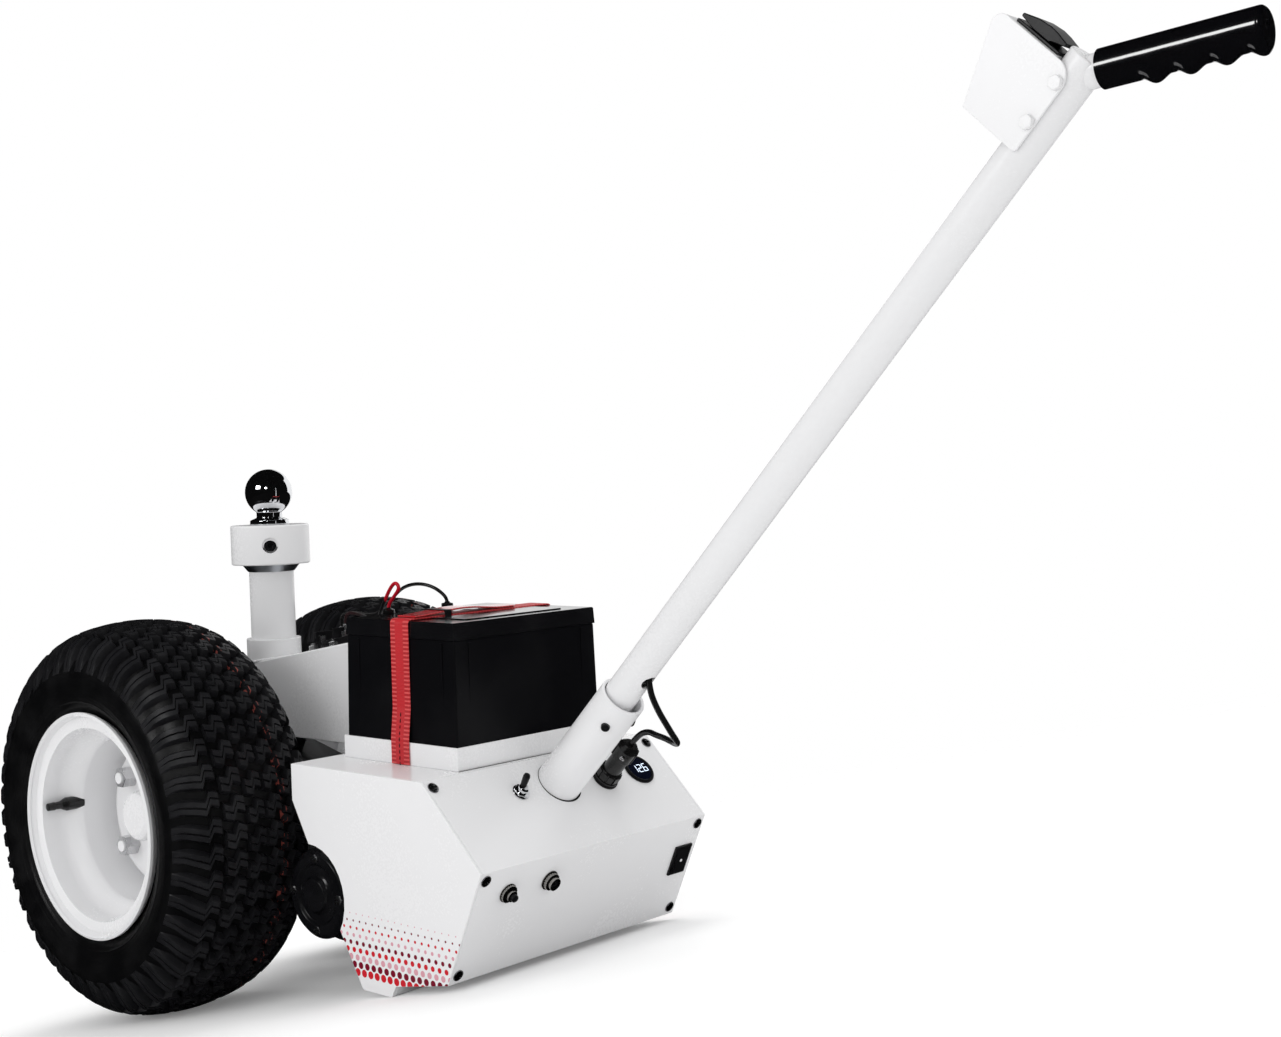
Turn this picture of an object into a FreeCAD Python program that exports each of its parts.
"""Electric trailer dolly: a two-wheeled, battery-driven mover that carries a trailer on a tow ball.

The machine is laid out level, with X forward from the axle line towards the operator's
handle, Y across and Z up from the floor.  At the end every piece is turned about the axle
line into the parked stance, resting on its two tyres and on the skid under the box.
"""
import FreeCAD
import Part
import math
import os

# --------------------------------------------------------------------------- wheels
TYRE_RADIUS = 203.2          # 16 inch turf tyre
TYRE_WIDTH = 158.0
TYRE_WALL = 9.0
CROWN_SHAPE = ((4.7, 0.52), (16.7, 0.81), (37.2, 0.966))   # (drop below the crown, share of half width)
BULGE_DROP = 53.2            # of the widest place below the crown
LUG_COUNT = 34               # tread lugs on each half of the tyre
TREAD_DEPTH = 5.6
TREAD_GROOVE = 8.0           # width of the groove round the middle
LINER_SIDE_COUNT = 16        # flats of the hidden inside of the tyre
TRACK = 309.0                # between the two tyre centre planes
RIM_WALL = 3.0
RIM_FLANGE_RADIUS = 115.5
RIM_LIP_WIDTH = 152.0        # over the two rolled lips
BEAD_SEAT_RADIUS = 101.6     # 8 inch rim
RIM_WELL_RADIUS = 88.0
RIM_BEND = 7.0               # reach of the pressed bends to either side of a corner
RIM_WELL_HALF = 27.8         # half width of the well's floor, where the nave plate is welded in
NAVE_OFFSET = -4.0           # disc plane, inboard of the tyre centre plane
HUB_FLANGE_RADIUS = 64.0
HUB_FLANGE_THICKNESS = 8.0
HUB_BARREL_RADIUS = 30.0
HUB_BARREL_LENGTH = 44.0
HUB_NOSE_RADIUS = 26.0
HUB_NOSE_LENGTH = 26.0
WHEEL_BOLT_CIRCLE = 101.6
WHEEL_NUT_COUNT = 4
WHEEL_NUT_FLATS = 19.0
WHEEL_NUT_HEIGHT = 15.0
SHAFT_RADIUS = 12.5
SHAFT_REACH = 34.0           # of each half shaft inside its axle tube
VALVE_LENGTH = 25.0          # outboard of its seat
VALVE_RADIUS = 4.2
VALVE_FOOT = 2.9             # swell of the rubber foot, seated on the slope of the well
VALVE_NECK = 2.0             # of the neck that fills the rim's hole
VALVE_ANGLE = 175.0

# --------------------------------------------------------------------------- box
BOX_WIDTH = 304.0            # over the two cheeks
CHEEK_THICKNESS = 3.0
SHEET = 2.5                  # wrap and panel
BOX_REAR_X = 238.6
BOX_TOP_Z = 277.0
BOX_TOP_FRONT_X = 424.6
SLANT_LENGTH = 103.0
SLANT_ANGLE = 44.6           # below the horizontal
PANEL_LENGTH = 114.6
PANEL_ANGLE = 65.8           # below the horizontal, leaning back
FLOOR_FRONT_DROP = 13.0      # from the panel's lower edge back to the skid
SKID_FRONT_X = 377.0
SKID_REAR_X = 333.0
SKID_Z = 76.4
SKID_BEND = 4.0
BACK_TOP_EDGE_Z = 242.0      # where the rear edge leaves the vertical
BACK_KNEE_X = 261.0
MOTOR_NOTCH_RADIUS = 49.5
PANEL_FLANGE_WIDTH = 14.0
PANEL_FLANGE_TRIM = 5.0      # flange ends short of the wrap, and clear of the inlet

# --------------------------------------------------------------------------- drive
MOTOR_X = 262.0
MOTOR_Z = 153.0
MOTOR_RADIUS = 43.0
MOTOR_INSET = 5.0            # of its end face behind the cheek's outer face
MOTOR_CAP_LENGTH = 12.0
MOTOR_BOSS_RADIUS = 17.0
MOTOR_BOSS_LENGTH = 4.0
GEAR_CASE_WIDTH = 76.0
CASE_BEAM_GAP = 9.8          # between the case's round top and the hitch beam's floor
GEAR_CASE_MOTOR_RADIUS = 46.0
CASE_PAD_LENGTH = 62.0       # machined pad that bolts up under the hitch beam
CASE_PAD_WIDTH = 52.0
AXLE_TUBE_RADIUS = 24.0
SHAFT_CLEARANCE = 0.3
HUB_GAP = 1.0                # end float between hub barrel and axle tube

# --------------------------------------------------------------------------- hitch
POST_X = 14.5
POST_RADIUS = 24.15
POST_WALL = 4.0
COLLAR_RADIUS = 29.4
COLLAR_TOP_Z = 374.0
BEAM_WIDTH = 60.0
BEAM_WALL = 4.0
BEAM_REAR_X = -34.0
BEAM_FLOOR_Z = 273.0
BEAM_TOP_AT_POST = 349.0
BEAM_RISE_ANGLE = 10.1
BEAM_LEG_LENGTH = 34.0
BEAM_LEG_BOTTOM_Z = 218.0
CUP_RADIUS = 42.4
CUP_BOTTOM_Z = 455.5
CUP_HEIGHT = 43.0
CUP_HOLE_RADIUS = 8.4
CUP_HOLE_AZIMUTH = -37.0
SET_SCREW_RADIUS = 6.4
RING_TOP_RADIUS = 31.5
RING_BOTTOM_RADIUS = 25.2
RING_HEIGHT = 8.0
BALL_DIAMETER = 50.8         # 2 inch tow ball
BALL_RISE = 35.5             # of its centre above the cup
BALL_NECK_RADIUS = 13.8
BALL_FLANGE_RADIUS = 21.0
BALL_FLANGE_HEIGHT = 5.0
BALL_SHANK_RADIUS = 12.7

# --------------------------------------------------------------------------- battery
TRAY_X0 = 253.0
TRAY_X1 = 414.5
TRAY_HALF_WIDTH = 98.0
TRAY_HEIGHT = 21.5
TRAY_WALL = 2.0
BATTERY_GAP = 0.5
BATTERY_TOP_Z = 412.0
BATTERY_DRAFT = 2.0
BATTERY_LID_HEIGHT = 16.0
TERMINAL_RADIUS = 5.5
TERMINAL_HEIGHT = 4.0
TERMINAL_X = 263.0
TERMINAL_SPREAD = 78.0
TERMINAL_SHIFT = -6.0        # of their middle from the machine's middle plane
STRAP_X = 337.0
STRAP_WIDTH = 25.4
STRAP_THICKNESS = 2.0
STRAP_GAP = 0.4
LEAD_RADIUS = 1.8
HANDLE_CABLE_RADIUS = 2.9
BLOCK_X = 95.0               # rear end of the terminal block on the beam
STUD_PLACES = ((16.0, 21.0), (46.0, 3.0))
STUD_HEIGHT = 22.0

# --------------------------------------------------------------------------- handle
SOCKET_DISTANCE = 30.5       # of its axis down the slanted face
SOCKET_RADIUS = 22.0
SOCKET_WALL = 3.0
SOCKET_LENGTH = 122.0
LEAN_CLEARANCE = 0.3         # between the leaning handle and the back of the socket's mouth
HANDLE_RADIUS = 15.9
HANDLE_WALL = 2.0
HANDLE_LENGTH = 801.0        # from the slanted face
HANDLE_LEAN = 0.5            # backwards, within the play of its socket
HANDLE_SEAT = 12.0           # of the tube's foot above the slanted face
BUTTON_RADIUS = 4.0
BUTTON_HEIGHT = 97.5
BUTTON_ANGLE = 48.0          # to either side of the handle's front
BUTTON_STAND_OUT = 2.6
CABLE_HOLE_HEIGHT = 153.0
CABLE_HOLE_RADIUS = 7.5
GRIP_ELEVATION = 3.8         # of the grip's axis above the horizontal
STUB_DROP = 15.0             # below the handle's top, where the stub's axis leaves the handle's axis
STUB_RADIUS = 12.7
GRIP_START = 20.0
GRIP_END = 140.0
GRIP_CAP = 9.0               # closed end of the grip, beyond the stub
GRIP_RADIUS = 14.9
GRIP_CREST = 19.4            # reach of the finger crests below the axis
GRIP_CREST_COUNT = 4
GRIP_CREST_PITCH = 25.5
GRIP_LAST_CREST = 4.5        # from the grip's end to its last crest
GRIP_CLEARANCE = 0.3

# --------------------------------------------------------------------------- control head
HEAD_DROP = 11.0             # of its top below the handle's top
HEAD_HEIGHT = 70.5
HEAD_FRONT_REACH = 5.4       # in front of the handle's axis
HEAD_BACK_BOTTOM = 52.5      # behind the handle's axis
HEAD_BACK_TOP = 78.5
HEAD_BACK_CORNER = 8.5       # rounding of the side plate's corners
HEAD_FRONT_CORNER = 15.0
HEAD_FOOT_CORNER = 3.5
HEAD_TAIL_CORNER = 1.0
HEAD_SHEET = 2.5
HEAD_GAP = 0.4               # side plates to tube
HEAD_BOLT_DROPS = (47.5, 13.5)   # below the head's top
HEAD_BOLT_FLATS = 10.0
HEAD_BOLT_HEAD = 4.5
SWITCH_BACK = 61.0
SWITCH_GAP = 0.4             # between the switch and the handle's tube
SWITCH_WIDTH = 25.0
SWITCH_BEZEL = 2.6
PADDLE_WIDTH = 21.0
PADDLE_RISE = 9.6            # of its crown above the bezel
PADDLE_LIFT = 3.4            # of the undersides of its tips
PADDLE_TIP = 2.6             # thickness of its tips
PADDLE_FOOT = 8.5            # half length of its foot
PADDLE_ROCK = 3.2            # front tip up, rear tip down

# --------------------------------------------------------------------------- instruments
HOLE_CLEARANCE = 0.4
METER_DOWN = 36.8                # down the slanted face
METER_INSET = 44.3               # of its centre from the left cheek's outer face
METER_RADIUS = 17.0
TOGGLE_PLACE = (32.5, -52.0)     # down the slanted face, across
TOGGLE_TILT = 16.0
PLUG_PLACE = (38.0, 57.5)
PLUG_RADIUS = 12.0
PLUG_CLAMP = 20.0                # length of the cable clamp at its rear
PLUG_LENGTH = 51.0
BREAKER_DOWN = 28.0              # down the lower panel
BREAKER_INSET = 42.0             # from the right cheek's outer face
PORT_DOWN = 27.0
PORT_SPACING = 52.0              # from the breaker
INLET_DOWN = 47.0
INLET_INSET = 20.0               # of its centre from the left cheek's outer face
INLET_HEIGHT = 32.0
INLET_WIDTH = 24.0
INLET_LEDGE = 1.5                # of its frame over the cut-out

# --------------------------------------------------------------------------- derived places
BOX_HALF = BOX_WIDTH / 2
INNER_HALF = BOX_HALF - CHEEK_THICKNESS
METER_PLACE = (METER_DOWN, BOX_HALF - METER_INSET)
BREAKER_PLACE = (BREAKER_DOWN, BREAKER_INSET - BOX_HALF)
PORT_PLACE = (PORT_DOWN, BREAKER_PLACE[1] + PORT_SPACING)
INLET_PLACE = (INLET_DOWN, BOX_HALF - INLET_INSET)
GEAR_CASE_AXLE_RADIUS = BEAM_FLOOR_Z - TYRE_RADIUS - CASE_BEAM_GAP
BALL_CENTRE_Z = CUP_BOTTOM_Z + CUP_HEIGHT + BALL_RISE
STUB_HEIGHT = HANDLE_LENGTH - STUB_DROP
SWITCH_FRONT = HANDLE_RADIUS + SWITCH_GAP
SOCKET_BORE = SOCKET_RADIUS - SOCKET_WALL
HANDLE_SHIFT = SOCKET_BORE - HANDLE_RADIUS - LEAN_CLEARANCE
STUB_LENGTH = GRIP_END - GRIP_CAP
HEAD_TOP = HANDLE_LENGTH - HEAD_DROP
HEAD_BOTTOM = HEAD_TOP - HEAD_HEIGHT
SLANT = math.radians(SLANT_ANGLE)
PANEL = math.radians(PANEL_ANGLE)
RIDGE = (BOX_TOP_FRONT_X + SLANT_LENGTH * math.cos(SLANT), BOX_TOP_Z - SLANT_LENGTH * math.sin(SLANT))
PANEL_FOOT = (RIDGE[0] - PANEL_LENGTH * math.cos(PANEL), RIDGE[1] - PANEL_LENGTH * math.sin(PANEL))
Y_AXIS = FreeCAD.Vector(0, 1, 0)
Z_AXIS = FreeCAD.Vector(0, 0, 1)
ORIGIN = FreeCAD.Vector(0, 0, 0)


def vec(x, y, z):
    return FreeCAD.Vector(x, y, z)


# --------------------------------------------------------------------------- building helpers
def polygon(points):
    """Closed face from 3D points."""
    return Part.Face(Part.makePolygon(points + [points[0]]))


def prism_y(outline, y0, y1):
    """Solid with an XZ outline, from y0 to y1."""
    return polygon([vec(x, y0, z) for x, z in outline]).extrude(vec(0, y1 - y0, 0))


def rounded_y(corners, y0, y1):
    """Solid from y0 to y1 with an XZ outline given as (x, z, corner radius)."""
    spots = [vec(x, y0, z) for x, z, _ in corners]
    edges = []
    ends = []
    for i, (_, _, radius) in enumerate(corners):
        before = (spots[i - 1] - spots[i]).normalize()
        after = (spots[(i + 1) % len(spots)] - spots[i]).normalize()
        half = before.getAngle(after) / 2
        reach = radius / math.tan(half)
        middle = spots[i] + (before + after).normalize() * (radius / math.sin(half) - radius)
        start, end = spots[i] + before * reach, spots[i] + after * reach
        edges.append(Part.Arc(start, middle, end).toShape())
        ends.append((start, end))
    for i, (start, _) in enumerate(ends):
        edges.insert(2 * i, Part.LineSegment(ends[i - 1][1], start).toShape())
    return Part.Face(Part.Wire(edges)).extrude(vec(0, y1 - y0, 0))


def box(x0, x1, y0, y1, z0, z1):
    return Part.makeBox(x1 - x0, y1 - y0, z1 - z0, vec(x0, y0, z0))


def cylinder(radius, length, base=ORIGIN, axis=Z_AXIS):
    return Part.makeCylinder(radius, length, base, axis)


def turned(profile, axis_point=ORIGIN, axis=Z_AXIS):
    """Revolve a closed (radius, height) profile about an axis."""
    face = polygon([vec(r, 0, h) for r, h in profile])
    solid = face.revolve(ORIGIN, Z_AXIS, 360)
    solid.Placement = FreeCAD.Placement(axis_point, FreeCAD.Rotation(Z_AXIS, axis))
    return solid


def hexagon(flats, height):
    """Upright hexagonal prism on the XY plane."""
    reach = flats / math.sqrt(3)
    corners = [vec(reach * math.cos(math.radians(60 * i)), reach * math.sin(math.radians(60 * i)), 0)
               for i in range(6)]
    return polygon(corners).extrude(vec(0, 0, height))


def offset_line(points, distance):
    """Offset an open XZ line to its left by a distance, with mitred corners."""
    moved = []
    last = len(points) - 1
    for i, (x, z) in enumerate(points):
        before = points[max(i - 1, 0)]
        after = points[min(i + 1, last)]
        normals = []
        for a, b in (((before), (x, z)), ((x, z), (after))):
            run = math.hypot(b[0] - a[0], b[1] - a[1])
            if run > 0:
                normals.append((-(b[1] - a[1]) / run, (b[0] - a[0]) / run))
        nx = sum(n[0] for n in normals)
        nz = sum(n[1] for n in normals)
        scale = distance * 2 / (nx * nx + nz * nz) if len(normals) == 2 else distance
        moved.append((x + nx * scale, z + nz * scale))
    return moved


def sheet_y(line, wall, y0, y1):
    """Folded sheet that follows an open XZ line, its thickness to the line's left."""
    return prism_y(line + offset_line(line, wall)[::-1], y0, y1)


def placed(shape, placement):
    moved = shape.copy()
    moved.Placement = placement.multiply(moved.Placement)
    return moved


def one(shapes):
    """Fuse a list of solids into one."""
    solid = shapes[0].fuse(shapes[1:])
    return solid.removeSplitter()


def arc_points(centre, radius, start, end, count):
    """Points on an XZ arc, angles in degrees from +X towards +Z."""
    return [(centre[0] + radius * math.cos(math.radians(start + (end - start) * i / count)),
             centre[1] + radius * math.sin(math.radians(start + (end - start) * i / count)))
            for i in range(count + 1)]


def route_tube(points, radius, name):
    """Round tube along straight runs joined by tangent arcs."""
    edges = []
    start = points[0]
    radii = []
    for i in range(1, len(points) - 1):
        back = points[i - 1] - points[i]
        ahead = points[i + 1] - points[i]
        turn = math.pi - back.getAngle(ahead)
        reach = 0.45 * min(back.Length, ahead.Length)
        bend = reach / math.tan(turn / 2)
        radii.append(bend)
        enter = points[i] + back.normalize() * reach
        leave = points[i] + ahead.normalize() * reach
        inward = (back + ahead).normalize()
        middle = points[i] + inward * (bend / math.cos(turn / 2) - bend)
        edges.append(Part.LineSegment(start, enter).toShape())
        edges.append(Part.Arc(enter, middle, leave).toShape())
        start = leave
    edges.append(Part.LineSegment(start, points[-1]).toShape())
    path = Part.Wire(edges)
    ring = Part.Wire(Part.makeCircle(radius, points[0], points[1] - points[0]))
    tube = path.makePipeShell([ring], True, False)
    ideal = math.pi * radius ** 2 * path.Length
    print(name, "length %.0f mm," % path.Length, "volume ratio %.4f," % (tube.Volume / ideal),
          "radii", ", ".join("%.0f" % r for r in radii))
    return tube


# --------------------------------------------------------------------------- local frames
def face_frame(edge, slope, down=0.0, across=0.0):
    """Frame on a sloping face: X down the face, Y across, Z out of it."""
    along = vec(math.cos(slope), 0, -math.sin(slope))
    out = along.cross(Y_AXIS)
    origin = vec(edge[0], across, edge[1]) + along * down
    return FreeCAD.Placement(origin, FreeCAD.Rotation(along, Y_AXIS, out, "ZXY"))


def slant_frame(down=0.0, across=0.0):
    return face_frame((BOX_TOP_FRONT_X, BOX_TOP_Z), SLANT, down, across)


def panel_frame(down=0.0, across=0.0):
    return face_frame(RIDGE, math.pi - PANEL, down, across)


SOCKET = slant_frame(SOCKET_DISTANCE)
HANDLE = SOCKET.multiply(FreeCAD.Placement(vec(-HANDLE_SHIFT, 0, SOCKET_LENGTH), FreeCAD.Rotation(Y_AXIS, -HANDLE_LEAN)))
HANDLE = HANDLE.multiply(FreeCAD.Placement(vec(0, 0, -SOCKET_LENGTH), FreeCAD.Rotation()))


# --------------------------------------------------------------------------- box pieces
def back_line():
    """Rear edge of the box from the skid up to the top plate, round the motor."""
    centre = (MOTOR_X, MOTOR_Z)
    knee_z = MOTOR_Z + math.sqrt(MOTOR_NOTCH_RADIUS ** 2 - (BACK_KNEE_X - MOTOR_X) ** 2)
    start = -32.0
    end = math.degrees(math.atan2(knee_z - MOTOR_Z, BACK_KNEE_X - MOTOR_X))
    return arc_points(centre, MOTOR_NOTCH_RADIUS, start, end, 10) + [
        (BOX_REAR_X, BACK_TOP_EDGE_Z), (BOX_REAR_X, BOX_TOP_Z)]


def skid_line():
    """Underside of the box from the panel's foot to the start of the rear edge."""
    junction = (SKID_FRONT_X + 4.0, PANEL_FOOT[1] - FLOOR_FRONT_DROP)
    front = arc_points((SKID_FRONT_X - SKID_BEND, SKID_Z + SKID_BEND), SKID_BEND, 0, -90, 4)
    rear = arc_points((SKID_REAR_X + SKID_BEND, SKID_Z + SKID_BEND), SKID_BEND, -90, -150, 3)
    return [PANEL_FOOT, junction] + front + rear


def box_outline():
    top = [(BOX_TOP_FRONT_X, BOX_TOP_Z), RIDGE]
    return skid_line() + back_line() + top


def shortened(start, end, trim):
    """End point of an XZ run, drawn back by a trim."""
    run = math.hypot(end[0] - start[0], end[1] - start[1])
    share = (run - trim) / run
    return start[0] + (end[0] - start[0]) * share, start[1] + (end[1] - start[1]) * share


def inlet_cut(margin):
    """Rectangular cut through the lower panel for the inlet, with a margin all round."""
    high = INLET_HEIGHT / 2 - INLET_LEDGE + margin
    wide = INLET_WIDTH / 2 - INLET_LEDGE + margin
    return placed(box(-high, high, -wide, wide, -10, 10), panel_frame(*INLET_PLACE))


def cheek(side):
    """Side plate of the box with an inner flange behind the control panel."""
    outer = side * BOX_HALF
    inner = side * INNER_HALF
    plate = prism_y(box_outline(), min(outer, inner), max(outer, inner))
    behind = offset_line([(BOX_TOP_FRONT_X, BOX_TOP_Z), RIDGE, PANEL_FOOT], -SHEET)
    line = [shortened(behind[1], behind[0], PANEL_FLANGE_TRIM), behind[1],
            shortened(behind[1], behind[2], PANEL_FLANGE_TRIM)]
    reach = side * (INNER_HALF - PANEL_FLANGE_WIDTH)
    flange = sheet_y(line, -SHEET, min(inner, reach), max(inner, reach))
    return one([plate, flange.cut(inlet_cut(PANEL_FLANGE_TRIM))])


def body_shell():
    """Folded wrap: top plate, rear, skid and floor, open towards the control panel."""
    line = [PANEL_FOOT] + skid_line()[1:] + back_line() + [(BOX_TOP_FRONT_X, BOX_TOP_Z)]
    return sheet_y(line, -SHEET, -INNER_HALF, INNER_HALF)


def control_panel():
    """Removable folded panel with the instrument cut-outs."""
    front = [(BOX_TOP_FRONT_X, BOX_TOP_Z), RIDGE, PANEL_FOOT]
    panel = sheet_y(front, -SHEET, -INNER_HALF, INNER_HALF)
    panel = panel.cut(body_shell())
    cuts = []
    openings = ((METER_PLACE, METER_RADIUS - 2), (TOGGLE_PLACE, 6.0), (PLUG_PLACE, PLUG_RADIUS - 2))
    for place, radius in openings:
        cuts.append(placed(cylinder(radius + HOLE_CLEARANCE, 20, vec(0, 0, -10)), slant_frame(*place)))
    cuts.append(placed(cylinder(SOCKET_RADIUS + HOLE_CLEARANCE, 20, vec(0, 0, -10)), SOCKET))
    for place, radius in ((BREAKER_PLACE, 5.0), (PORT_PLACE, 6.0)):
        cuts.append(placed(cylinder(radius + HOLE_CLEARANCE, 20, vec(0, 0, -10)), panel_frame(*place)))
    cuts.append(inlet_cut(HOLE_CLEARANCE))
    return panel.cut(cuts)


# --------------------------------------------------------------------------- battery pieces
def battery_tray():
    outer = box(TRAY_X0, TRAY_X1, -TRAY_HALF_WIDTH, TRAY_HALF_WIDTH, BOX_TOP_Z, BOX_TOP_Z + TRAY_HEIGHT)
    inner = box(TRAY_X0 + TRAY_WALL, TRAY_X1 - TRAY_WALL, -TRAY_HALF_WIDTH + TRAY_WALL,
                TRAY_HALF_WIDTH - TRAY_WALL, BOX_TOP_Z + TRAY_WALL, BOX_TOP_Z + TRAY_HEIGHT + 1)
    return outer.cut(inner)


def battery_ring(z, inset):
    """Rectangular outline of the battery at a height."""
    x0 = TRAY_X0 + TRAY_WALL + BATTERY_GAP + inset
    x1 = TRAY_X1 - TRAY_WALL - BATTERY_GAP - inset
    half = TRAY_HALF_WIDTH - TRAY_WALL - BATTERY_GAP - inset
    return Part.makePolygon([vec(x0, -half, z), vec(x1, -half, z), vec(x1, half, z), vec(x0, half, z),
                             vec(x0, -half, z)])


def battery_case():
    low = battery_ring(BOX_TOP_Z + TRAY_WALL, 0)
    high = battery_ring(BATTERY_TOP_Z - BATTERY_LID_HEIGHT, BATTERY_DRAFT)
    return Part.makeLoft([low, high], True, True)


def battery_lid():
    low = battery_ring(BATTERY_TOP_Z - BATTERY_LID_HEIGHT, BATTERY_DRAFT - 0.8)
    high = battery_ring(BATTERY_TOP_Z, BATTERY_DRAFT)
    lid = Part.makeLoft([low, high], True, True)
    edges = [e for e in lid.Edges if e.BoundBox.ZMin > BATTERY_TOP_Z - 0.1]
    return lid.makeFillet(1.5, edges)


def terminal_y(side):
    return TERMINAL_SHIFT + side * TERMINAL_SPREAD / 2


def battery_terminals():
    posts = []
    for side in (-1, 1):
        foot = vec(TERMINAL_X, terminal_y(side), BATTERY_TOP_Z)
        posts.append(cylinder(TERMINAL_RADIUS, TERMINAL_HEIGHT, foot))
    return Part.makeCompound(posts)


def battery_strap():
    """Webbing loop over the battery, down to the box top outside the tray."""
    half = TRAY_HALF_WIDTH + STRAP_GAP
    top = BATTERY_TOP_Z + STRAP_GAP
    shoulder = TRAY_HALF_WIDTH - TRAY_WALL - BATTERY_GAP - BATTERY_DRAFT + STRAP_GAP + 0.8
    rim = BOX_TOP_Z + TRAY_HEIGHT + 2
    inner = [(half, BOX_TOP_Z + STRAP_GAP), (half, rim), (shoulder, top)]
    line = inner + [(-y, z) for y, z in inner[::-1]]
    outline = line + offset_line(line, -STRAP_THICKNESS)[::-1]
    face = polygon([vec(STRAP_X - STRAP_WIDTH / 2, y, z) for y, z in outline])
    return face.extrude(vec(STRAP_WIDTH, 0, 0))


# --------------------------------------------------------------------------- hitch pieces
def beam_top(x):
    return BEAM_TOP_AT_POST + (x - POST_X) * math.tan(math.radians(BEAM_RISE_ANGLE))


def beam_outline():
    front = BOX_REAR_X - 0.2
    return [(BEAM_REAR_X, BEAM_FLOOR_Z), (BEAM_REAR_X, beam_top(BEAM_REAR_X)), (front, beam_top(front)),
            (front, BEAM_LEG_BOTTOM_Z + 27), (front - BEAM_LEG_LENGTH, BEAM_LEG_BOTTOM_Z + 27),
            (front - BEAM_LEG_LENGTH, BEAM_FLOOR_Z)]


def hitch_beam():
    """Welded box beam from the post to the rear of the box."""
    outline = beam_outline()
    outer = prism_y(outline, -BEAM_WIDTH / 2, BEAM_WIDTH / 2)
    face = polygon([vec(x, 0, z) for x, z in outline])
    core = face.makeOffset2D(-BEAM_WALL)
    core = core.extrude(vec(0, BEAM_WIDTH - 2 * BEAM_WALL, 0))
    core.translate(vec(0, -BEAM_WIDTH / 2 + BEAM_WALL, 0))
    return outer.cut(core)


def above_beam(shape):
    """Trim a post piece to the beam's sloping top."""
    return shape.cut(prism_y(beam_outline(), -BEAM_WIDTH, BEAM_WIDTH))


def post_tube():
    low = BEAM_FLOOR_Z
    tube = cylinder(POST_RADIUS, CUP_BOTTOM_Z - low, vec(POST_X, 0, low))
    bore = cylinder(POST_RADIUS - POST_WALL, CUP_BOTTOM_Z - low + 1, vec(POST_X, 0, low - 1))
    return above_beam(tube.cut(bore))


def post_collar():
    low = BEAM_FLOOR_Z
    collar = cylinder(COLLAR_RADIUS, COLLAR_TOP_Z - low, vec(POST_X, 0, low))
    bore = cylinder(POST_RADIUS, COLLAR_TOP_Z - low + 2, vec(POST_X, 0, low - 1))
    return above_beam(collar.cut(bore))


def swivel_ring():
    """Conical steel ring between the post and the cup."""
    bottom = CUP_BOTTOM_Z - RING_HEIGHT
    profile = [(POST_RADIUS, bottom), (RING_BOTTOM_RADIUS, bottom), (RING_TOP_RADIUS, CUP_BOTTOM_Z),
               (POST_RADIUS, CUP_BOTTOM_Z)]
    return turned(profile, vec(POST_X, 0, 0))


def radial_frame(z, azimuth, radius):
    """Frame on a post surface, Z pointing out."""
    angle = math.radians(azimuth)
    out = vec(math.cos(angle), math.sin(angle), 0)
    return FreeCAD.Placement(vec(POST_X, 0, z) + out * radius, FreeCAD.Rotation(Z_AXIS, out))


def ball_cup():
    cup = cylinder(CUP_RADIUS, CUP_HEIGHT, vec(POST_X, 0, CUP_BOTTOM_Z))
    cup = cup.makeChamfer(1.2, cup.Edges)
    bore = cylinder(BALL_SHANK_RADIUS, CUP_HEIGHT + 2, vec(POST_X, 0, CUP_BOTTOM_Z - 1))
    hole = placed(cylinder(CUP_HOLE_RADIUS, 14, vec(0, 0, -12)),
                  radial_frame(CUP_BOTTOM_Z + CUP_HEIGHT / 2, CUP_HOLE_AZIMUTH, CUP_RADIUS))
    return cup.cut([bore, hole])


def cup_set_screw():
    """Socket screw that clamps the ball's shank, sunk in the cup's side hole."""
    head = cylinder(SET_SCREW_RADIUS, 8, vec(0, 0, -12))
    head = head.cut(hexagon(6.0, 6).translate(vec(0, 0, -8)))
    return placed(head, radial_frame(CUP_BOTTOM_Z + CUP_HEIGHT / 2, CUP_HOLE_AZIMUTH, CUP_RADIUS))


def tow_ball():
    """Ball, necked shank and flange, turned in one piece."""
    radius = BALL_DIAMETER / 2
    cup_top = CUP_BOTTOM_Z + CUP_HEIGHT
    centre = BALL_CENTRE_Z
    join = centre - math.sqrt(radius ** 2 - BALL_NECK_RADIUS ** 2)
    start = vec(0, 0, centre + radius)
    side = vec(radius, 0, centre)
    neck = vec(BALL_NECK_RADIUS, 0, join)
    flare = 3.0
    shoulder = vec(BALL_NECK_RADIUS, 0, cup_top + BALL_FLANGE_HEIGHT + flare)
    rim = vec(BALL_FLANGE_RADIUS, 0, cup_top + BALL_FLANGE_HEIGHT)
    points = [rim, vec(BALL_FLANGE_RADIUS, 0, cup_top), vec(BALL_SHANK_RADIUS - 0.2, 0, cup_top),
              vec(BALL_SHANK_RADIUS - 0.2, 0, CUP_BOTTOM_Z + 4), vec(0, 0, CUP_BOTTOM_Z + 4), start]
    curve = Part.Arc(start, side, neck).toShape()
    edges = [curve, Part.LineSegment(neck, shoulder).toShape(), Part.LineSegment(shoulder, rim).toShape()]
    edges += [Part.LineSegment(a, b).toShape() for a, b in zip(points, points[1:])]
    ball = Part.Face(Part.Wire(edges)).revolve(ORIGIN, Z_AXIS, 360)
    ball.translate(vec(POST_X, 0, 0))
    return ball


def block_frame(x, y, lift=0.0):
    """Frame on the beam's sloping top, X up the slope."""
    slope = math.radians(BEAM_RISE_ANGLE)
    along = vec(math.cos(slope), 0, math.sin(slope))
    return FreeCAD.Placement(vec(x, y, beam_top(x)) + along.cross(Y_AXIS) * lift,
                             FreeCAD.Rotation(along, Y_AXIS, along.cross(Y_AXIS), "ZXY"))


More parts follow.
